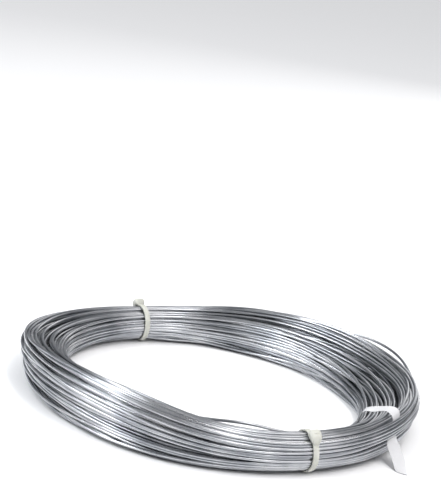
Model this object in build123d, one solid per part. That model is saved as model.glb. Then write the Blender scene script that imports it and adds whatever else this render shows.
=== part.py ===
from build123d import *
import math
import os

# Coil of round galvanised steel wire, lying flat. Millimetres.
# Origin: on the coil's axis, on the floor. +Z is the coil's axis. The two cable
# ties lie on the Y axis: -Y is the front tie, beside the paper tag.

# ---- driving dimensions -------------------------------------------------
WIRE_D = 2.0            # wire diameter = pitch of the turns
BORE_D = 206.0          # inside of the ring between the ties
COIL_OD = 282.0         # outside of the ring
COIL_H = 32.0           # height of the bundle between its ties
LAND = 1.4              # flat crest of one turn
GROOVE = 0.5            # depth of the groove between two turns
R_OUT_CORNER = 9.0      # rounding of the bundle's outer edges

TIE_ANGLES = (0.0, 180.0)   # the two ties, degrees round from the front
TIE_BUNDLE_D = 25.0     # bundle pulled round under a tie
TIE_RUN_R = 126.25      # middle of the bundle under a tie
TIE_WIDTH = 4.0         # cable tie strap, measured against the wire
TIE_SEAT = 5.2          # straight run of the bundle under the strap
TIE_THICK = 1.2
TIE_GAP = 0.05
WAIST_R = 48.0          # how gently the bundle swells again beside a tie
WAIST_L = 42.0          # half length of the waist
HEAD_W = 9.0            # tie head, across the strap
HEAD_L = 8.6            # tie head, along the strap
HEAD_T = 5.8            # tie head, off the bundle
HEAD_BETA = 58.0        # head's place, degrees up from the outside
STUB = 1.2              # trimmed tail standing out of the head

TAG_ANGLE = 29.0        # paper tag, degrees round from the front
TAG_WIDTH = 9.0
TAG_THICK = 0.4
TAG_SLOT = 0.3          # room for the tag's tucked end between the turns

R_IN = BORE_D / 2
R_OUT = COIL_OD / 2
R_MID = TIE_RUN_R
TIE_R = TIE_BUNDLE_D / 2
STRAP_IN = TIE_R + TIE_GAP
STRAP_OUT = STRAP_IN + TIE_THICK
TIE_Z = STRAP_OUT + 0.05    # the strap just clears the floor


# ---- the bundle's section: turns show as crests and grooves -------------
def outline(s):
    """Point and outward normal at length s along the section, from the foot
    of the bore wall, out under the bundle, up the outside and back over it."""
    legs = [
        ("line", (R_IN, 0.0), (1.0, 0.0), W_FLAT, (0.0, -1.0)),
        ("arc", (R_OUT - R_OUT_CORNER, R_OUT_CORNER), R_OUT_CORNER, 270.0),
        ("line", (R_OUT, R_OUT_CORNER), (0.0, 1.0), H_OUT, (1.0, 0.0)),
        ("arc", (R_OUT - R_OUT_CORNER, COIL_H - R_OUT_CORNER), R_OUT_CORNER, 0.0),
        ("line", (R_OUT - R_OUT_CORNER, COIL_H), (-1.0, 0.0), W_FLAT, (0.0, 1.0)),
    ]
    for leg in legs:
        if leg[0] == "arc":
            _, c, r, a0 = leg
            length = r * math.pi / 2
            if s <= length:
                a = math.radians(a0) + s / r
                n = (math.cos(a), math.sin(a))
                return (c[0] + r * n[0], c[1] + r * n[1]), n
        else:
            _, p, d, length, n = leg
            if s <= length:
                return (p[0] + d[0] * s, p[1] + d[1] * s), n
        s -= length
    return (R_IN, COIL_H), (0.0, 1.0)


W_FLAT = R_OUT - R_OUT_CORNER - R_IN
H_OUT = COIL_H - 2 * R_OUT_CORNER
QUARTER = R_OUT_CORNER * math.pi / 2
points = []
run = 0.0
for length in (W_FLAT, QUARTER, H_OUT, QUARTER, W_FLAT):
    turns = round(length / WIRE_D)      # whole turns on each leg
    pitch = length / turns
    half = (pitch - LAND) / 2
    for i in range(turns):
        for ds, deep in ((0.0, GROOVE), (half, 0.0), (pitch - half, 0.0)):
            (x, z), n = outline(run + pitch * i + ds)
            points.append((x - n[0] * deep, z - n[1] * deep))
    run += length
# the section starts and ends square on the plain bore wall
points[0] = (R_IN, 0.0)
points.append((R_IN, COIL_H))

section = make_face(Polyline(*[(x, 0, z) for x, z in points], close=True))
coil = revolve(section, axis=Axis.Z, revolution_arc=360)


# ---- local frames -------------------------------------------------------
def station(angle, z=0.0, r=0.0):
    """Plane across the bundle: local X is outward, local Y is up."""
    a = math.radians(angle)
    out = Vector(math.sin(a), -math.cos(a), 0)
    return Plane(
        origin=(r * out.X, r * out.Y, z),
        x_dir=out,
        z_dir=out.cross(Vector(0, 0, 1)),
    )


# ---- waists where the ties pull the bundle round ------------------------
def waist_cutter(angle):
    """Everything outside a gentle hourglass about the wire's run at a tie."""
    flat = TIE_SEAT / 2
    s_end = WAIST_L
    r_end = TIE_R + WAIST_R - math.sqrt(WAIST_R**2 - (s_end - flat) ** 2)
    s_mid = (flat + s_end) / 2
    r_mid = TIE_R + WAIST_R - math.sqrt(WAIST_R**2 - (s_mid - flat) ** 2)
    r_big = 52.0
    pl = station(angle, TIE_Z, R_MID)
    # local X of the sketch plane is outward, local Z is along the wire
    edges = [
        Line((TIE_R, 0, -flat), (TIE_R, 0, flat)),
        ThreePointArc((TIE_R, 0, flat), (r_mid, 0, s_mid), (r_end, 0, s_end)),
        Line((r_end, 0, s_end), (r_big, 0, s_end)),
        Line((r_big, 0, s_end), (r_big, 0, -s_end)),
        Line((r_big, 0, -s_end), (r_end, 0, -s_end)),
        ThreePointArc((r_end, 0, -s_end), (r_mid, 0, -s_mid), (TIE_R, 0, -flat)),
    ]
    face = make_face(edges)
    solid = revolve(face, axis=Axis.Z, revolution_arc=360)
    return pl.location * solid


for angle in TIE_ANGLES:
    coil -= waist_cutter(angle)

# ---- paper tag: over the bundle, its end hanging to the floor -----------
tag_route = [
    (111.5, 19.0), (111.5, 30.0), (115.2, 33.0), (131.0, 33.0),
    (141.4, 30.4), (144.4, 19.0), (157.2, 0.4),
]
tag_radii = [2.0, 2.0, 9.0, 6.0, 16.0]
tag_path = FilletPolyline(*tag_route, radius=tag_radii)
tag_plane = station(TAG_ANGLE)
tag_face = trace(tag_path, TAG_THICK)
tag = extrude(tag_face, amount=TAG_WIDTH / 2, both=True)
tag = tag_plane.location * tag
slot_face = trace(
    FilletPolyline((111.5, 18.8), (111.5, 30.0), (115.2, 33.0), (131.0, 33.0),
                   radius=[2.0, 2.0]),
    TAG_THICK + 2 * TAG_SLOT,
)
slot = extrude(slot_face, amount=TAG_WIDTH / 2 + TAG_SLOT, both=True)
coil -= tag_plane.location * slot


# ---- cable ties ---------------------------------------------------------
def cable_tie(angle):
    pl = station(angle, TIE_Z, R_MID)
    strap = Cylinder(STRAP_OUT, TIE_WIDTH) - Cylinder(STRAP_IN, TIE_WIDTH)
    head = Box(HEAD_T, HEAD_L, HEAD_W)
    head = fillet(head.edges(), 1.1)
    # narrower foot where the strap leaves the head
    foot = Box(2.6, 6.0, 6.0)
    foot = fillet(foot.edges().filter_by(Axis.X), 0.8)
    stub = Box(STUB + 2.0, TIE_THICK, TIE_WIDTH - 0.2)
    r_head = STRAP_IN + 0.05 + HEAD_T / 2
    tie = Pos(r_head, 0, 0) * head
    tie += Pos(STRAP_IN + 0.75 + 1.3, -HEAD_L / 2 - 0.6, 0) * foot
    tie += Pos(r_head + HEAD_T / 2 + STUB / 2 - 1.0, 0.6, 0) * stub
    tie -= Cylinder(STRAP_IN, HEAD_W + 4)
    tie = Rot(0, 0, HEAD_BETA) * tie
    tie = strap + tie
    return pl.location * tie


ties = {
    "cable_tie_front": cable_tie(TIE_ANGLES[0]),
    "cable_tie_back": cable_tie(TIE_ANGLES[1]),
}

os.makedirs("parts", exist_ok=True)
export_step(coil, "parts/wire_coil.step")
for name, tie in ties.items():
    export_step(tie, f"parts/{name}.step")
export_step(tag, "parts/size_tag.step")
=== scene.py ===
import math

import bmesh
import bpy
import numpy as np
from mathutils import Matrix, Vector


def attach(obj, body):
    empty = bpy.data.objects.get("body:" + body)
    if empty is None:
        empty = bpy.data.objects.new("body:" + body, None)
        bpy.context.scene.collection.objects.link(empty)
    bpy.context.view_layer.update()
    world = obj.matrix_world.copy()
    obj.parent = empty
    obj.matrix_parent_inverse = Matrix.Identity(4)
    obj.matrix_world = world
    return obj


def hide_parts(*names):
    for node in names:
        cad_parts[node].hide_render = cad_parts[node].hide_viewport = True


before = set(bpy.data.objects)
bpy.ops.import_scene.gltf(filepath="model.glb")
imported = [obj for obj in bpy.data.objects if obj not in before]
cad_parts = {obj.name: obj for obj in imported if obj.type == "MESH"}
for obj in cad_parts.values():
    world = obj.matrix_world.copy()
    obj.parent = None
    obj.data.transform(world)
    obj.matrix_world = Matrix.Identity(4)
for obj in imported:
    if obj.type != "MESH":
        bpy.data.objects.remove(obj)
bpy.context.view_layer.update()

# ---------------------------------------------------------------- sizes (m)
WIRE_R = 0.0010
TIE_R = 0.0125
TIE_Z = 0.0138
R_MID = 0.12625
TURNS = 120
STATIONS = 180
SIDES = 12
# angle, inner r, outer r, top inside, top outside, foot inside, foot outside,
# spread (0 tied, 1 free), run's own shift from the tied radius
BUNDLE = [
    (-180, 113.7, 138.8, 26.3, 26.3, 1.3, 1.3, 0.00, 0.0),
    (-168, 115.7, 142.2, 25.3, 26.3, 1.0, 1.0, 0.25, 1.4),
    (-152, 114.7, 145.6, 23.4, 26.9, 0.0, 0.0, 0.75, 2.3),
    (-130, 109.4, 142.5, 25.0, 30.5, 0.0, 0.0, 1.00, 1.1),
    (-110, 103.8, 136.6, 28.7, 34.2, 0.0, 0.0, 1.00, -1.7),
    (-90, 100.9, 131.5, 32.1, 37.1, 0.0, 0.0, 1.00, -4.4),
    (-65, 99.2, 131.0, 35.2, 38.2, 0.0, 0.0, 1.00, -5.7),
    (-47, 101.0, 134.0, 33.9, 36.2, 0.0, 0.0, 0.95, -4.8),
    (-36, 104.8, 136.3, 31.0, 33.3, 0.0, 0.0, 0.80, -3.8),
    (-24, 109.3, 138.0, 27.1, 29.6, 0.5, 0.5, 0.50, -2.4),
    (-12, 112.1, 138.4, 25.9, 27.4, 1.0, 1.0, 0.18, -1.1),
    (0, 113.7, 138.8, 26.3, 26.3, 1.3, 1.3, 0.00, 0.0),
    (10, 113.7, 140.6, 24.0, 27.1, 1.0, 1.3, 0.15, 0.7),
    (20, 111.0, 143.2, 19.2, 28.7, 0.0, 3.0, 0.55, 1.1),
    (30, 106.6, 143.6, 15.5, 30.0, 0.0, 6.5, 0.90, 1.2),
    (45, 104.8, 143.2, 14.0, 31.0, 0.0, 8.5, 1.00, 0.8),
    (60, 103.6, 143.2, 14.5, 32.5, 0.0, 7.5, 1.00, -0.2),
    (78, 100.2, 140.0, 16.5, 34.8, 0.0, 4.0, 1.00, -2.0),
    (100, 98.6, 136.0, 21.5, 36.2, 0.0, 1.0, 1.00, -4.3),
    (128, 101.7, 136.0, 26.0, 34.8, 0.0, 0.0, 1.00, -5.7),
    (150, 107.5, 138.3, 26.3, 30.8, 0.0, 0.0, 0.70, -4.2),
    (167, 112.1, 138.8, 26.1, 27.1, 1.0, 1.0, 0.25, -1.9),
]
LEAN = 5.3            # the outer wall's foot stands in from its top
PHI = np.arange(STATIONS) * 2 * math.pi / STATIONS - math.pi
DEG = np.degrees(PHI)
# the tag's two long edges: angle, radius, height of the near one, then of the far one
TAG_EDGES = [
    (32.0, 110.5, 15.5, 36.2, 109.0, 15.0), (32.0, 112.3, 22.0, 36.1, 110.8, 20.5),
    (32.0, 115.2, 25.6, 36.0, 112.8, 25.0), (32.0, 120.9, 26.9, 36.0, 117.5, 27.4),
    (32.0, 127.1, 29.3, 36.0, 124.9, 29.7), (32.0, 130.7, 30.0, 36.0, 129.5, 31.0),
    (31.9, 133.9, 28.8, 36.0, 133.4, 30.9), (31.6, 135.9, 26.6, 35.8, 136.2, 29.0),
    (30.7, 136.9, 22.2, 34.7, 137.8, 24.6), (29.0, 137.7, 17.2, 32.8, 138.9, 19.9),
    (27.3, 139.3, 12.6, 31.0, 141.2, 15.3), (26.3, 143.2, 9.0, 29.8, 146.0, 11.6),
    (25.1, 148.0, 5.6, 28.8, 149.6, 8.5), (24.4, 150.9, 2.7, 28.0, 153.0, 5.0),
    (24.0, 153.3, 0.6, 25.8, 158.0, 1.8), (23.8, 155.5, 0.4, 24.3, 162.0, 0.4),
]
VIEW = -30.0          # degrees round from the front tie to the camera
# dark partings between strands on the outer wall: angle, radius, height, half width
PARTINGS = [
    [(-104, 128, 32, 0.2), (-99.6, 129, 32.5, 1.3), (-92, 127.5, 33.7, 1.5), (-84.5, 127, 34.3, 1.6), (-76, 126.5, 34.6, 1.6), (-69.7, 125.5, 36, 1.0), (-62, 125, 36, 0.2)],
    [(-116, 133, 15.5, 0.3), (-110.9, 132, 16.3, 1.3), (-104.1, 131, 17.0, 1.5), (-96.3, 129.4, 18.0, 1.6), (-88, 128, 18.4, 1.5), (-80.8, 127.6, 18.2, 1.2), (-74, 127.4, 17.2, 0.2)],
    [(-100, 127, 7.3, 0.2), (-95.2, 127.2, 7.7, 1.2), (-89.6, 126.5, 8.2, 1.3), (-82.7, 126.4, 9.6, 1.3), (-76.7, 126.5, 11.2, 1.2), (-67.4, 126.8, 14.6, 1.4), (-58.7, 127.8, 14.6, 1.5), (-52.8, 128.8, 14.3, 1.4), (-46.6, 129.7, 12.9, 1.5), (-39.1, 131.2, 12.0, 2.1), (-34.3, 132.2, 11.9, 2.1), (-29.6, 132.9, 11.6, 1.5), (-25.2, 133.5, 11.1, 0.9), (-17.8, 133.8, 10.0, 0.2)],
    [(-59, 129.5, 26.2, 0.2), (-55.1, 130.1, 25.8, 1.1), (-49.5, 130.9, 24.9, 1.3), (-41.0, 132.4, 23.5, 1.4), (-36.4, 133.3, 22.4, 1.3), (-31.7, 134.1, 20.9, 1.0), (-24, 135, 20.2, 0.2)],
    [(-50, 123, 33, 0.2), (-48.2, 124, 32.6, 1.2), (-42.2, 125, 31.7, 1.3), (-37, 128, 29.2, 1.3), (-33.5, 130, 27.1, 1.1), (-29, 132, 25.4, 0.2)],
    [(-66, 125.5, 4.0, 0.2), (-60.7, 125.7, 5.8, 1.1), (-54.7, 127.3, 6.8, 1.2), (-49.0, 127.8, 6.1, 1.1), (-43, 128.4, 4.6, 0.2)],
    [(-92, 128, 21.0, 0.2), (-88.3, 128.3, 21.8, 0.9), (-82.5, 128.2, 22.5, 1.0), (-77, 128.2, 22.8, 0.2)],
]


def curve(table, col, at, wrap=True):
    x = np.array([t[0] for t in table], float)
    y = np.array([t[col] for t in table], float)
    if wrap:
        x = np.concatenate([x[-2:] - 360, x, x[:3] + 360])
        y = np.concatenate([y[-2:], y, y[:3]])
    else:
        x = np.concatenate([[x[0] - 1e3], x, [x[-1] + 1e3, x[-1] + 2e3]])
        y = np.concatenate([y[:1], y, y[-1:], y[-1:]])
    i = np.clip(np.searchsorted(x, at, side="right") - 1, 1, len(x) - 3)
    h = x[i + 1] - x[i]
    t = (at - x[i]) / h
    m0 = (y[i + 1] - y[i - 1]) / (x[i + 1] - x[i - 1]) * h
    m1 = (y[i + 2] - y[i]) / (x[i + 2] - x[i]) * h
    return ((2 * t**3 - 3 * t**2 + 1) * y[i] + (t**3 - 2 * t**2 + t) * m0
            + (3 * t**2 - 2 * t**3) * y[i + 1] + (t**3 - t**2) * m1)


def tag_edges(n):
    """Both edges of the tag at n places from its tucked end to its free one."""
    k = np.linspace(0, len(TAG_EDGES) - 1, n)
    table = [(i,) + row for i, row in enumerate(TAG_EDGES)]
    return np.stack([curve(table, c, k, False) for c in range(1, 7)], 1)


def tag_cuts():
    """The tag's line across the bundle at each station it covers (metres)."""
    e = tag_edges(200)
    cuts = []
    for i in np.nonzero((DEG > 22) & (DEG < 39))[0]:
        t = (DEG[i] - e[:, 0]) / (e[:, 3] - e[:, 0])
        on = (t > -0.3) & (t < 1.3) & (e[:, 2] > 7)
        if on.sum() < 2:
            continue
        t = t[on, None]
        line = (e[on, 1:3] * (1 - t) + e[on, 4:6] * t) / 1000
        cuts.append((i, line, (np.nonzero(on)[0] > 22) & (np.nonzero(on)[0] < 92)))
    return cuts


def packed_disc(rng, n, radius):
    a = rng.uniform(0, 2 * math.pi, n)
    r = radius * np.sqrt(rng.uniform(0, 1, n))
    p = np.stack([r * np.cos(a), r * np.sin(a)], 1)
    for _ in range(900):
        d = p[:, None] - p[None]
        dist = np.sqrt((d**2).sum(-1)) + 1e-9
        push = np.clip(2.02 * WIRE_R - dist, 0, None)
        np.fill_diagonal(push, 0)
        p = p + 0.35 * (d / dist[..., None] * push[..., None]).sum(1)
        rr = np.sqrt((p**2).sum(1))
        over = rr > radius
        p[over] *= (radius / rr[over])[:, None]
    return p


def winding_order(rng, p):
    left = set(range(len(p)))
    cur = int(np.argmin(p[:, 0] + 0.6 * p[:, 1]))
    path = [cur]
    left.remove(cur)
    while left:
        idx = np.array(sorted(left))
        d = np.sqrt(((p[idx] - p[cur]) ** 2).sum(1))
        score = d + 0.12 * p[idx, 0] + 0.0004 * rng.uniform(0, 1, len(idx))
        cur = int(idx[np.argmin(score)])
        path.append(cur)
        left.remove(cur)
    return path


def along(x, sigma):
    half = int(math.ceil(3 * sigma))
    k = np.exp(-0.5 * (np.arange(-half, half + 1) / sigma) ** 2)
    k /= k.sum()
    pad = np.concatenate([np.repeat(x[:1], half, 0), x, np.repeat(x[-1:], half, 0)])
    return np.stack([np.convolve(pad[:, c], k, mode="valid") for c in range(x.shape[1])], 1)


def section_map(T, tab):
    """Unit disc places to the bundle's section at every station (metres)."""
    ri, ro, ti, to, fi, fo, sp, sh = tab
    u, v = T[..., 0], T[..., 1]
    rr = np.sqrt(u * u + v * v)
    s2 = 2 * math.sqrt(2)
    uu, vv = u * np.minimum(1, 0.999 / np.maximum(rr, 1e-9)), v * np.minimum(1, 0.999 / np.maximum(rr, 1e-9))
    qx = 0.5 * np.sqrt(np.maximum(2 + uu**2 - vv**2 + s2 * uu, 0)) - 0.5 * np.sqrt(np.maximum(2 + uu**2 - vv**2 - s2 * uu, 0))
    qy = 0.5 * np.sqrt(np.maximum(2 - uu**2 + vv**2 + s2 * vv, 0)) - 0.5 * np.sqrt(np.maximum(2 - uu**2 + vv**2 - s2 * vv, 0))
    k = 0.62
    x = uu + k * (qx - uu)
    y = vv + k * (qy - vv)
    t = np.clip((1 - x) / 2, 0, 1) ** 1.3
    w = WIRE_R
    r_wide = (ro - w) - (ro - ri - 2 * w) * t
    top = to + (ti - to) * t - w
    foot = fo + (fi - fo) * t + w
    z_wide = foot + (top - foot) * (y + 1) / 2
    r_wide = r_wide - LEAN / 1000 * (1 - y) / 2 * (1 - t)
    r_tie = R_MID + sh + (TIE_R - w) * u
    z_tie = TIE_Z + (TIE_R - w) * v
    return r_tie + (r_wide - r_tie) * sp, z_tie + (z_wide - z_tie) * sp


def clear_tag(S, cuts):
    """Move each turn to its own side of the tag, over every station the tag covers."""
    found = []
    sign = np.zeros(TURNS)
    under = np.zeros(TURNS, bool)
    a = np.arange(TURNS)
    for i, cut, over in cuts:
        seg = cut[1:] - cut[:-1]
        w = S[i][:, None] - cut[None, :-1]
        h = np.clip((w * seg).sum(-1) / ((seg**2).sum(-1) + 1e-12), 0, 1)
        gap = w - h[..., None] * seg
        dist = np.sqrt((gap**2).sum(-1))
        j = dist.argmin(1)
        nrm = np.stack([-seg[j, 1], seg[j, 0]], 1)
        nrm /= np.linalg.norm(nrm, axis=1)[:, None]
        side = (gap[a, j] * nrm).sum(1)
        if DEG[i] > 31:
            sign += side
            under |= over[j] & (side > 0)
        found.append((i, j, nrm, side, dist[a, j], DEG[i] > 31))
    sign = np.where(under | (sign < 0), -1.0, 1.0)
    for i, j, nrm, side, dist, main in found:
        need = np.clip(0.00135 - side * sign, 0, 0.004)
        need = np.where((dist < 0.00135) | (main & (side * sign < 0) & (dist < 0.008)), need, 0)
        S[i] = S[i] + 0.5 * (sign * need)[:, None] * nrm


def wind(seed, rounds):
    rng = np.random.default_rng(seed)
    q = packed_disc(rng, TURNS, TIE_R - WIRE_R)
    qa = q[winding_order(rng, q)] / (TIE_R - WIRE_R)
    twist = math.radians(30)
    c, s = math.cos(twist), math.sin(twist)
    qb = 0.5 * (qa + np.roll(qa, -1, 0))
    qb[-1] = qa[-1]
    qb = qb @ np.array([[c, s], [-s, c]]) + rng.normal(0, 0.10, qa.shape)
    tab = [curve(BUNDLE, i, DEG) / (1 if i == 7 else 1000) for i in range(1, 9)]
    tab[6] = np.clip(tab[6], 0, 1)
    span = np.sin(np.abs(PHI)) ** 2
    w = 0.5 - 0.5 * np.cos(PHI)
    before = np.vstack([qa[:1], qb[:-1]])
    back = np.where((DEG < 0)[None, :, None], before[:, None], qb[:, None])
    T = qa[:, None] * (1 - w)[None, :, None] + back * w[None, :, None]
    cen = rng.normal(0, 0.55, (12, 2))
    gid = np.argmin(((qa[:, None] - cen[None]) ** 2).sum(-1), 1)
    off_l = cen * 0.16 + rng.normal(0, 0.08, cen.shape)
    off_r = cen * 0.16 + rng.normal(0, 0.14, cen.shape)
    T += off_l[gid][:, None] * np.where(DEG < 0, span, 0)[None, :, None]
    T += off_r[gid][:, None] * np.where(DEG >= 0, span, 0)[None, :, None]
    loose = np.where(DEG >= 0, 2.0, 0.8)
    for n in (1, 2, 3, 5):
        am = rng.normal(0, 0.12 / n, (TURNS, 2))
        ph = rng.uniform(0, 2 * math.pi, (TURNS, 2))
        T += am[:, None] * np.sin(n * np.abs(PHI)[None, :, None] + ph[:, None]) * (span * loose)[None, :, None]
    rr = np.sqrt((T**2).sum(-1))
    T *= np.where(rr > 1.0, 1.0 / rr, 1.0)[..., None]
    X = np.empty((TURNS, STATIONS, 2))
    X[..., 0], X[..., 1] = section_map(T, [t[None] for t in tab])
    # turns of their own
    sel = lambda u, v, side: int(np.argmin(((T[:, side] - [u, v]) ** 2).sum(-1)))
    iR = int(np.argmin(np.abs(DEG - 95)))
    iF = int(np.argmin(np.abs(DEG + 20)))
    k1 = sel(0.75, 0.6, iR)
    b = np.exp(-0.5 * ((DEG - 90) / 14.0) ** 2)
    X[k1, :, 0] += b * 0.0052
    X[k1, :, 1] += b * (0.0338 - X[k1, :, 1])
    k2 = sel(-0.80, 0.55, iF)
    b = np.exp(-0.5 * ((DEG + 20) / 9.0) ** 4)
    X[k2, :, 0] += b * (0.1138 - X[k2, :, 0])
    X[k2, :, 1] += b * (0.0288 - X[k2, :, 1])
    free = {k1: (60, 126), k2: (-36, -6)}
    aim = X.reshape(-1, 2).copy()
    X = aim.copy()
    stiff = np.ones((TURNS, STATIONS))
    for k, (lo, hi) in free.items():
        stiff[k, (DEG > lo) & (DEG < hi)] = 6
    stiff = stiff.reshape(-1, 1)
    ties = []
    for i in (int(np.argmin(np.abs(DEG))), 0):
        ties += [(i - 1) % STATIONS, i, (i + 1) % STATIONS]
    mid = np.array([R_MID, TIE_Z])
    lim = TIE_R - WIRE_R
    rows = np.arange(STATIONS)[:, None, None]
    near = 14
    part = []
    for tabp in PARTINGS:
        lo, hi = tabp[0][0], tabp[-1][0]
        on = (DEG >= lo) & (DEG <= hi)
        st = np.nonzero(on)[0]
        part.append((st, curve(tabp, 1, DEG[st], False) / 1000, curve(tabp, 2, DEG[st], False) / 1000,
                     curve(tabp, 3, DEG[st], False) / 1000))
    cuts = tag_cuts()
    for it in range(rounds):
        X = X + np.minimum((0.05 * (1 - it / rounds) + 0.008) * stiff, 0.3) * (aim - X)
        D = X - along(X, 3.0)
        X = X - 0.5 * (D - along(D, 3.0))
        S = X.reshape(TURNS, STATIONS, 2).transpose(1, 0, 2).copy()
        if it % 8 == 0:
            d2 = ((S[:, :, None] - S[:, None]) ** 2).sum(-1)
            idx = np.argpartition(d2, near, axis=2)[:, :, :near + 1]
        for _ in range(3):
            d = S[:, :, None] - S[rows, idx]
            dist = np.sqrt((d**2).sum(-1))
            own = dist < 1e-12
            dist[own] = 1
            push = np.clip(2.008 * WIRE_R - dist, 0, None)
            push[own] = 0
            S = S + 0.42 * (d / dist[..., None] * push[..., None]).sum(2)
            for st, pr, pz, pw in (part if it < rounds - 12 else ()):
                for deep in (0.0, 0.0022):
                    ctr = np.stack([pr - deep, pz - deep * 0.15], 1)[:, None]
                    v = S[st] - ctr
                    dd = np.sqrt((v**2).sum(-1)) + 1e-9
                    need = np.clip((pw * (1 if deep == 0 else 0.7) + WIRE_R)[:, None] - dd, 0, None)
                    S[st] = S[st] + 0.35 * v / dd[..., None] * need[..., None] * np.array([0.3, 1.0])
            clear_tag(S, cuts)
            v = S[ties] - mid
            r = np.sqrt((v**2).sum(-1))
            S[ties] = mid + v * np.where(r > lim, lim / r, 1)[..., None]
            S[..., 1] = np.maximum(S[..., 1], WIRE_R)
        X = S.transpose(1, 0, 2).reshape(-1, 2)
    for _ in range(10):
        bend = np.zeros(len(X))
        bend[1:-1] = np.linalg.norm(X[2:] - 2 * X[1:-1] + X[:-2], axis=1)
        w = np.clip((bend - 0.00025) / 0.0004, 0, 1)[:, None]
        w = np.minimum(3.0 * along(w, 1.6), 1)
        X = X + w * (along(X, 1.5) - X)
        S = X.reshape(TURNS, STATIONS, 2).transpose(1, 0, 2).copy()
        clear_tag(S, cuts)
        v = S[ties] - mid
        r = np.sqrt((v**2).sum(-1))
        S[ties] = mid + v * np.where(r > lim, lim / r, 1)[..., None]
        S[..., 1] = np.maximum(S[..., 1], WIRE_R)
        X = S.transpose(1, 0, 2).reshape(-1, 2)
    X = X.reshape(TURNS, STATIONS, 2)
    return X


def in_space(path):
    """(turn, station) places as one line of points in space."""
    phi = np.tile(PHI, path.shape[0])
    r = path[..., 0].ravel()
    return np.stack([r * np.sin(phi), -r * np.cos(phi), path[..., 1].ravel()], 1)


# ------------------------------------------------------------ mesh helpers
def mesh_object(name, verts, faces, smooth=True):
    me = bpy.data.meshes.new(name)
    me.from_pydata([tuple(v) for v in verts], [], [tuple(f) for f in faces])
    me.validate()
    if smooth:
        me.polygons.foreach_set("use_smooth", [True] * len(me.polygons))
    ob = bpy.data.objects.new(name, me)
    bpy.context.scene.collection.objects.link(ob)
    return ob


def tube(name, line, first, last, radius, sides, turn_of, uv_rows):
    """A closed round tube along line[first:last+1], with the directions of the whole line."""
    lo, hi = max(first - 1, 0), min(last + 1, len(line) - 1)
    P = line[first:last + 1]
    ext = line[lo:hi + 1]
    tan = np.gradient(ext, axis=0)[first - lo:first - lo + len(P)]
    tan /= np.linalg.norm(tan, axis=1)[:, None]
    out = P * np.array([1, 1, 0])
    out /= np.linalg.norm(out, axis=1)[:, None]
    out -= tan * (out * tan).sum(1)[:, None]
    out /= np.linalg.norm(out, axis=1)[:, None]
    up = np.cross(tan, out)
    a = np.arange(sides) * 2 * math.pi / sides
    ring = (P[:, None] + radius * (np.cos(a)[None, :, None] * out[:, None]
                                   + np.sin(a)[None, :, None] * up[:, None]))
    n = len(P)
    V = ring.reshape(-1, 3)
    i = np.arange(n - 1)[:, None] * sides
    j = np.arange(sides)[None]
    k = (j + 1) % sides
    quads = np.stack([i + j, i + k, i + sides + k, i + sides + j], -1).reshape(-1, 4)
    nq = len(quads)
    me = bpy.data.meshes.new(name)
    me.vertices.add(len(V))
    me.vertices.foreach_set("co", V.astype(np.float32).ravel())
    loops = np.concatenate([quads.ravel(), np.arange(sides)[::-1], (n - 1) * sides + np.arange(sides)])
    starts = np.concatenate([np.arange(nq) * 4, [nq * 4, nq * 4 + sides]])
    me.loops.add(len(loops))
    me.polygons.add(nq + 2)
    me.loops.foreach_set("vertex_index", loops.astype(np.int32))
    me.polygons.foreach_set("loop_start", starts.astype(np.int32))
    smooth = np.ones(nq + 2, bool)
    smooth[-2:] = False
    me.polygons.foreach_set("use_smooth", smooth)
    me.update(calc_edges=True)
    # strips of the bake's map: one row a turn, along it by its length
    turn = turn_of[first:last + 1]
    base = turn.min()
    u = (np.arange(first, last + 1) % STATIONS) / STATIONS
    uvs = np.zeros((len(loops), 2), np.float32)
    row = (turn - base)[:-1, None]
    u0 = u[:-1, None] + 0 * j
    u1 = u0 + 1.0 / STATIONS
    pad = 0.06
    v0 = (row + pad + (1 - 2 * pad) * j / sides) / uv_rows
    v1 = (row + pad + (1 - 2 * pad) * (j + 1) / sides) / uv_rows
    uvq = np.stack([np.stack([u0, v0], -1), np.stack([u0, v1], -1),
                    np.stack([u1, v1], -1), np.stack([u1, v0], -1)], 2)
    uvs[:nq * 4] = uvq.reshape(-1, 2)
    uvs[nq * 4:nq * 4 + sides] = np.stack([0.002 + 0.001 * np.cos(a), 0.5 / uv_rows * 0.05 + 0.0004 * np.sin(a)], 1)
    uvs[nq * 4 + sides:] = uvs[nq * 4:nq * 4 + sides] + [0.004, 0]
    layer = me.uv_layers.new(name="OFBake")
    layer.uv.foreach_set("vector", uvs.ravel())
    # how far along the wire each point is, and a tone that drifts slowly along it
    s = np.concatenate([[0], np.cumsum(np.linalg.norm(np.diff(line, axis=0), axis=1))])[first:last + 1]
    att = me.attributes.new("run", "FLOAT", "POINT")
    att.data.foreach_set("value", np.repeat(s, sides).astype(np.float32))
    att = me.attributes.new("turn", "FLOAT", "POINT")
    att.data.foreach_set("value", np.repeat(turn, sides).astype(np.float32))
    me.validate()
    ob = bpy.data.objects.new(name, me)
    bpy.context.scene.collection.objects.link(ob)
    return ob


# --------------------------------------------------------------- materials
def new_material(name):
    m = bpy.data.materials.new(name)
    m.use_nodes = True
    nt = m.node_tree
    nt.nodes.clear()
    out = nt.nodes.new("ShaderNodeOutputMaterial")
    bsdf = nt.nodes.new("ShaderNodeBsdfPrincipled")
    nt.links.new(bsdf.outputs[0], out.inputs["Surface"])
    return m, nt, bsdf


def node(nt, kind, **values):
    n = nt.nodes.new(kind)
    for key, value in values.items():
        if key in n.inputs:
            n.inputs[key].default_value = value
        else:
            setattr(n, key, value)
    return n


def ramp(nt, fac, stops):
    r = nt.nodes.new("ShaderNodeValToRGB")
    nt.links.new(fac, r.inputs["Fac"])
    while len(r.color_ramp.elements) < len(stops):
        r.color_ramp.elements.new(0.5)
    for e, (pos, col) in zip(r.color_ramp.elements, stops):
        e.position = pos
        e.color = (*col, 1.0) if len(col) == 3 else col
    return r.outputs["Color"]


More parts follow.
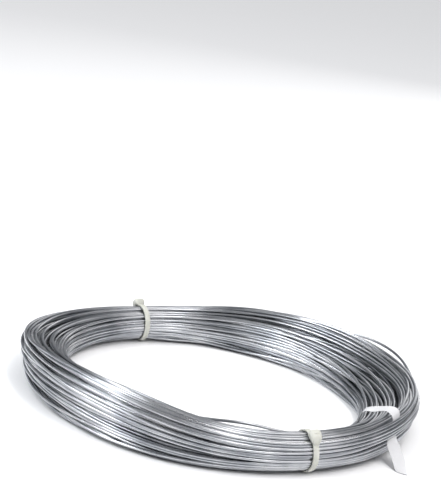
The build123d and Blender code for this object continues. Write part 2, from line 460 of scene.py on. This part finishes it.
def zinc_material():
    """Bright drawn zinc coat: satin, a little cloudy, with a fine noise bump."""
    m, nt, bsdf = new_material("zinc_wire")
    L = nt.links.new
    tc = node(nt, "ShaderNodeTexCoord")
    big = node(nt, "ShaderNodeTexNoise", Scale=38.0, Detail=3.0, Roughness=0.55)
    L(tc.outputs["Object"], big.inputs["Vector"])
    fine = node(nt, "ShaderNodeTexNoise", Scale=900.0, Detail=2.0, Roughness=0.6)
    L(tc.outputs["Object"], fine.inputs["Vector"])
    turn = node(nt, "ShaderNodeAttribute", attribute_name="turn")
    run = node(nt, "ShaderNodeAttribute", attribute_name="run")
    comb = node(nt, "ShaderNodeCombineXYZ")
    tmul = node(nt, "ShaderNodeMath", operation="MULTIPLY")
    tmul.inputs[1].default_value = 7.31
    L(turn.outputs["Fac"], tmul.inputs[0])
    smul = node(nt, "ShaderNodeMath", operation="MULTIPLY")
    smul.inputs[1].default_value = 6.0
    L(run.outputs["Fac"], smul.inputs[0])
    L(smul.outputs[0], comb.inputs["X"])
    L(tmul.outputs[0], comb.inputs["Y"])
    drift = node(nt, "ShaderNodeTexNoise", Scale=1.0, Detail=3.0, Roughness=0.6)
    L(comb.outputs[0], drift.inputs["Vector"])
    mixf = node(nt, "ShaderNodeMath", operation="MULTIPLY_ADD")
    mixf.inputs[1].default_value = 0.6
    L(drift.outputs["Fac"], mixf.inputs[0])
    bigm = node(nt, "ShaderNodeMath", operation="MULTIPLY")
    bigm.inputs[1].default_value = 0.4
    L(big.outputs["Fac"], bigm.inputs[0])
    L(bigm.outputs[0], mixf.inputs[2])
    col = ramp(nt, mixf.outputs[0], [(0.34, (0.24, 0.25, 0.275)), (0.46, (0.43, 0.445, 0.47)),
                                     (0.56, (0.60, 0.61, 0.63)), (0.68, (0.80, 0.805, 0.815))])
    L(col, bsdf.inputs["Base Color"])
    rough = node(nt, "ShaderNodeMapRange")
    rough.inputs["From Min"].default_value = 0.3
    rough.inputs["From Max"].default_value = 0.7
    rough.inputs["To Min"].default_value = 0.36
    rough.inputs["To Max"].default_value = 0.24
    L(drift.outputs["Fac"], rough.inputs["Value"])
    L(rough.outputs["Result"], bsdf.inputs["Roughness"])
    bsdf.inputs["Metallic"].default_value = 1.0
    bump = node(nt, "ShaderNodeBump", Strength=0.06, Distance=0.00005)
    L(fine.outputs["Fac"], bump.inputs["Height"])
    L(bump.outputs["Normal"], bsdf.inputs["Normal"])
    return m


def nylon_material():
    """Natural nylon: milky, faintly yellow, with a soft moulded sheen."""
    m, nt, bsdf = new_material("nylon")
    L = nt.links.new
    tc = node(nt, "ShaderNodeTexCoord")
    n1 = node(nt, "ShaderNodeTexNoise", Scale=160.0, Detail=3.0, Roughness=0.5)
    L(tc.outputs["Object"], n1.inputs["Vector"])
    col = ramp(nt, n1.outputs["Fac"], [(0.35, (0.48, 0.485, 0.435)), (0.65, (0.57, 0.57, 0.52))])
    L(col, bsdf.inputs["Base Color"])
    r = node(nt, "ShaderNodeMapRange")
    r.inputs["To Min"].default_value = 0.38
    r.inputs["To Max"].default_value = 0.5
    L(n1.outputs["Fac"], r.inputs["Value"])
    L(r.outputs["Result"], bsdf.inputs["Roughness"])
    bsdf.inputs["Subsurface Weight"].default_value = 0.25
    bsdf.inputs["Subsurface Radius"].default_value = (0.002, 0.002, 0.0015)
    bsdf.inputs["Subsurface Scale"].default_value = 0.5
    n2 = node(nt, "ShaderNodeTexNoise", Scale=1400.0, Detail=2.0)
    L(tc.outputs["Object"], n2.inputs["Vector"])
    bump = node(nt, "ShaderNodeBump", Strength=0.15, Distance=0.0001)
    L(n2.outputs["Fac"], bump.inputs["Height"])
    L(bump.outputs["Normal"], bsdf.inputs["Normal"])
    return m


def paper_material():
    """Coated white paper strip."""
    m, nt, bsdf = new_material("tag_paper")
    L = nt.links.new
    tc = node(nt, "ShaderNodeTexCoord")
    n1 = node(nt, "ShaderNodeTexNoise", Scale=90.0, Detail=4.0, Roughness=0.6)
    L(tc.outputs["Object"], n1.inputs["Vector"])
    col = ramp(nt, n1.outputs["Fac"], [(0.3, (0.57, 0.57, 0.585)), (0.7, (0.65, 0.65, 0.66))])
    L(col, bsdf.inputs["Base Color"])
    bsdf.inputs["Roughness"].default_value = 0.55
    n2 = node(nt, "ShaderNodeTexNoise", Scale=2500.0, Detail=3.0)
    L(tc.outputs["Object"], n2.inputs["Vector"])
    bump = node(nt, "ShaderNodeBump", Strength=0.2, Distance=0.00005)
    L(n2.outputs["Fac"], bump.inputs["Height"])
    L(bump.outputs["Normal"], bsdf.inputs["Normal"])
    return m


def floor_material():
    m, nt, bsdf = new_material("studio_floor")
    bsdf.inputs["Base Color"].default_value = (0.86, 0.86, 0.865, 1)
    bsdf.inputs["Roughness"].default_value = 0.9
    bsdf.inputs["Specular IOR Level"].default_value = 0.1
    return m


ZINC = zinc_material()
NYLON = nylon_material()
PAPER = paper_material()

# -------------------------------------------------------------- the wire
path = wind(seed=7, rounds=160)
line = in_space(path)
# both ends of the wire stop under the back tie's strap
tail = 2 * path[-1, -1] - path[-1, -2]
line = np.vstack([line, [[0.0, tail[0], tail[1]]]])
turn_of = np.append(np.repeat(np.arange(TURNS), STATIONS), TURNS - 1)
cuts = [0, 40, 80, TURNS]
for i in range(3):
    first = cuts[i] * STATIONS
    last = min(cuts[i + 1] * STATIONS, len(line) - 1)
    ob = tube(f"wire_turns_{i + 1}", line, first, last, WIRE_R, SIDES, turn_of, 41)
    ob.data.materials.append(ZINC)
    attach(ob, "root")
    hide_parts("wire_coil")

# -------------------------------------------------------- the cable ties
def lofted(name, rings, closed=False):
    """A closed solid through rings of points; capped unless it runs back into itself."""
    n, m = len(rings), len(rings[0])
    verts = [tuple(v) for ring in rings for v in ring]
    faces = []
    for i in range(n if closed else n - 1):
        a, b = i * m, ((i + 1) % n) * m
        for j in range(m):
            k = (j + 1) % m
            faces.append((a + j, a + k, b + k, b + j))
    if not closed:
        faces.append(tuple(range(m))[::-1])
        faces.append(tuple(range((n - 1) * m, n * m)))
    return mesh_object(name, verts, faces)


def round_rect(w, h, r, steps=4):
    """Points round a rounded rectangle, centred."""
    pts = []
    for cx, cy, a0 in ((w / 2 - r, h / 2 - r, 0), (-w / 2 + r, h / 2 - r, 90),
                       (-w / 2 + r, -h / 2 + r, 180), (w / 2 - r, -h / 2 + r, 270)):
        for i in range(steps + 1):
            a = math.radians(a0 + 90 * i / steps)
            pts.append((cx + r * math.cos(a), cy + r * math.sin(a)))
    return pts


STRAP_IN = 0.01255
STRAP_T = 0.0012
STRAP_W = 0.0040
HEAD_BETA = 58.0        # the head's place, degrees up from the outside


def cable_tie(name, at, seed):
    """A drawn-up tie: strap round the bundle, its head a tapered block, its tail cut off short."""
    rng = np.random.default_rng(seed)
    ph = rng.uniform(0, 2 * math.pi, 4)
    a0 = math.radians(at)
    out = np.array([math.sin(a0), -math.cos(a0), 0.0])
    tan = np.array([math.cos(a0), math.sin(a0), 0.0])
    up = np.array([0.0, 0.0, 1.0])
    mid = R_MID * out + TIE_Z * up

    def place(x, y, w):
        return mid + out * x + up * y + tan * w

    rings = []
    steps = 144
    sec = round_rect(STRAP_T, STRAP_W, 0.00032)
    for i in range(steps):
        a = 2 * math.pi * i / steps
        # the strap lies from wire to wire, in short flats
        rho = STRAP_IN + STRAP_T / 2 + 0.00006 * math.sin(17 * a + ph[0]) + 0.00004 * math.sin(29 * a + ph[1])
        w0 = 0.00022 * math.sin(a + ph[2]) + 0.00012 * math.sin(2 * a + ph[3])
        rings.append([place((rho + v) * math.cos(a), (rho + v) * math.sin(a), w + w0) for v, w in sec])
    strap = lofted(name + "_strap", rings, closed=True)

    b = math.radians(HEAD_BETA)
    du = np.array([-math.sin(b), math.cos(b)])
    dv = np.array([math.cos(b), math.sin(b)])

    def block(nm, rows, r):
        """rows: along the strap u, bottom v0, top v1, half width."""
        rr = []
        for u, v0, v1, hw in rows:
            q = round_rect(v1 - v0, 2 * hw, min(r, (v1 - v0) / 2.05, hw / 1.05), 5)
            rr.append([place(*(du * u + dv * ((v0 + v1) / 2 + v)), w) for v, w in q])
        return lofted(nm, rr)

    s = STRAP_IN
    head = block(name + "_head", [
        (-0.0052, s + 0.00010, s + 0.00135, 0.0019),
        (-0.0047, s + 0.00005, s + 0.00190, 0.0021),
        (-0.0041, s + 0.00005, s + 0.00310, 0.0027),
        (-0.0032, s + 0.00005, s + 0.00450, 0.0034),
        (-0.0018, s + 0.00005, s + 0.00540, 0.0040),
        (0.0000, s + 0.00005, s + 0.00575, 0.0042),
        (0.0020, s + 0.00005, s + 0.00580, 0.0042),
        (0.0031, s + 0.00010, s + 0.00560, 0.0040),
        (0.0037, s + 0.00030, s + 0.00520, 0.0036),
        (0.0040, s + 0.00080, s + 0.00450, 0.0029)], 0.0024)
    # the tail, cut off just proud of the head's face
    stub = block(name + "_stub", [(u, s + 0.003, s + 0.0061, hw) for u, hw in
                                  ((-0.00005, 0.00175), (0.0001, 0.0019), (0.0010, 0.0019), (0.00115, 0.00175))], 0.00012)
    for other in (head, stub):
        mod = strap.modifiers.new("join", "BOOLEAN")
        mod.operation = "UNION"
        mod.solver = "EXACT"
        mod.object = other
    bpy.context.view_layer.update()
    me = bpy.data.meshes.new_from_object(strap.evaluated_get(bpy.context.evaluated_depsgraph_get()))
    ob = bpy.data.objects.new(name, me)
    bpy.context.scene.collection.objects.link(ob)
    for o in (strap, head, stub):
        bpy.data.objects.remove(o, do_unlink=True)
    me.name = name
    me.polygons.foreach_set("use_smooth", [True] * len(me.polygons))
    me.set_sharp_from_angle(angle=math.radians(38))
    ob.data.materials.append(NYLON)
    return ob


for at, name in ((0.0, "cable_tie_front"), (180.0, "cable_tie_back")):
    ob = cable_tie("nylon_tie_" + name[10:], at, 3 + int(at))
    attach(ob, "root")
    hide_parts(name)

# --------------------------------------------------------------- the tag
e = tag_edges(140)
near = np.stack([e[:, 1] * np.sin(np.radians(e[:, 0])), -e[:, 1] * np.cos(np.radians(e[:, 0])), e[:, 2]], 1) / 1000
far = np.stack([e[:, 4] * np.sin(np.radians(e[:, 3])), -e[:, 4] * np.cos(np.radians(e[:, 3])), e[:, 5]], 1) / 1000
near[:, 2] = np.maximum(near[:, 2], 0.0002)
far[:, 2] = np.maximum(far[:, 2], 0.0002)
TAG_T = 0.00024
walk = np.gradient((near + far) / 2, axis=0)
wide = far - near
nrm = np.cross(walk, wide)
nrm /= np.linalg.norm(nrm, axis=1)[:, None]
rings = []
cols = 7
for i in range(len(e)):
    # a little cupped across, as a printed strip is off its roll
    top = [near[i] + wide[i] * j / (cols - 1) + nrm[i] * (TAG_T / 2 + 0.00022 * (1 - (2 * j / (cols - 1) - 1) ** 2))
           for j in range(cols)]
    low = [p - nrm[i] * TAG_T for p in reversed(top)]
    rings.append([np.array([p[0], p[1], max(p[2], 0.00005)]) for p in top + low])
tag = lofted("paper_tag", rings)
tag.data.set_sharp_from_angle(angle=math.radians(50))
tag.data.materials.append(PAPER)
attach(tag, "root")
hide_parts("size_tag")

# ------------------------------------------------------------ the studio
bpy.ops.mesh.primitive_plane_add(size=14, location=(0, 0, 0))
floor = bpy.context.object
floor.name = "floor"
floor.data.materials.append(floor_material())


def turned(v, deg):
    a = math.radians(deg)
    return Vector((v[0] * math.cos(a) - v[1] * math.sin(a), v[0] * math.sin(a) + v[1] * math.cos(a), v[2]))


def soft_light(name, place, size, power, aim=(0, 0, 0.02), size_y=None, color=(1, 1, 1), roll=0):
    """A soft box, placed as seen from the camera: x right, y away, z up."""
    ld = bpy.data.lights.new(name, "AREA")
    ld.shape = "RECTANGLE"
    ld.size = size
    ld.size_y = size_y or size
    ld.energy = power
    ld.color = color
    lo = bpy.data.objects.new(name, ld)
    bpy.context.scene.collection.objects.link(lo)
    p = turned(place, VIEW)
    lo.location = p
    # its long side points toward and away from the camera, then turned by roll
    z = (p - turned(aim, VIEW)).normalized()
    y = turned((math.sin(math.radians(-roll)), math.cos(math.radians(roll)), 0), VIEW)
    x = y.cross(z).normalized()
    y = z.cross(x)
    lo.rotation_euler = Matrix((x, y, z)).transposed().to_euler()
    return lo


soft_light("strip_left", (-1.095, -0.192, 0.975), 0.25, 16, size_y=1.7, color=(0.95, 0.975, 1.0), roll=-36)
soft_light("strip_top", (0.40, -0.55, 1.30), 0.20, 8, size_y=1.3, color=(1.0, 0.985, 0.98), roll=18)
soft_light("right_box", (1.02, -0.62, 1.02), 0.8, 6, size_y=1.1, color=(1.0, 0.975, 0.965), roll=35)
soft_light("back_box", (0.45, 1.45, 0.62), 1.3, 3.2, size_y=0.7, color=(1.0, 0.99, 0.98))
sun_data = bpy.data.lights.new("room", "SUN")
sun_data.energy = 1.75
sun_data.angle = math.radians(80)
sun = bpy.data.objects.new("room", sun_data)
bpy.context.scene.collection.objects.link(sun)
sun.rotation_euler = (turned((0.0, 0.0, 0.0), VIEW) - turned((0.15, -0.1, 1.0), VIEW)).to_track_quat("-Z", "Y").to_euler()
sun.visible_glossy = False
world = bpy.data.worlds.new("studio")
bpy.context.scene.world = world
world.use_nodes = True
world.node_tree.nodes["Background"].inputs[0].default_value = (0.85, 0.87, 0.92, 1)
world.node_tree.nodes["Background"].inputs[1].default_value = 0.26

# ------------------------------------------------------------ the camera
cd = bpy.data.cameras.new("photo_view")
cam = bpy.data.objects.new("photo_view", cd)
bpy.context.scene.collection.objects.link(cam)
cd.sensor_fit = "VERTICAL"
cd.sensor_height = 36.0
cd.lens = 36.0 * 1613 / 500
cd.clip_start = 0.05
cd.clip_end = 60
eye = turned((0.0, -1.07282259, 0.39047549), VIEW)
ahead = turned((-0.00790341, 0.96702729, -0.25455010), VIEW)
up = turned((-0.13560076, 0.25117026, 0.95839759), VIEW)
right = ahead.cross(up)
cam.matrix_world = Matrix((
    (right.x, up.x, -ahead.x, eye.x), (right.y, up.y, -ahead.y, eye.y),
    (right.z, up.z, -ahead.z, eye.z), (0, 0, 0, 1)))
bpy.context.scene.camera = cam
bpy.context.scene.view_settings.view_transform = "Standard"
bpy.context.scene.view_settings.look = "None"
